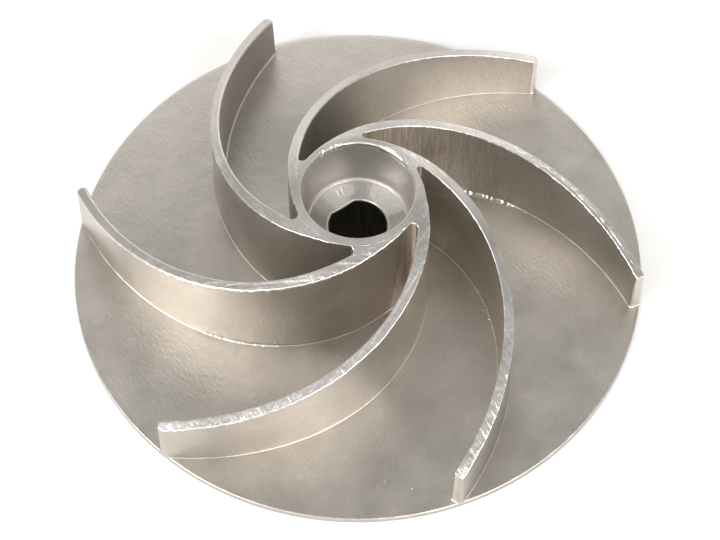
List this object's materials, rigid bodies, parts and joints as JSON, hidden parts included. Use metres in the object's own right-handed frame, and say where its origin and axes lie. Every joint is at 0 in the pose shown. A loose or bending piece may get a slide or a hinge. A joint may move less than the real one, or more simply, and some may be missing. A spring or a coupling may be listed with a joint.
{
  "type": "semi-open pump impeller",
  "caption": "Semi-open centrifugal pump impeller: round back plate, curved backward-swept vanes and a bowl-shaped hub over a D-shaped shaft bore.",
  "frame": {"origin": "on the bore axis at the flat back face of the plate, the lowest point of the part", "axes": "+Z along the bore axis towards the open side with the vanes, so the suction side; +X to the right and +Y away from a viewer who looks at the open side as the picture does"},
  "size_m": [0.2, 0.2, 0.0487],
  "materials": {
    "cast_steel": "investment cast stainless steel, blasted to a fine satin grain, with turned vane tops"
  },
  "bodies": {
    "root": {"impeller_casting": "cast_steel"}
  },
  "joints": []
}
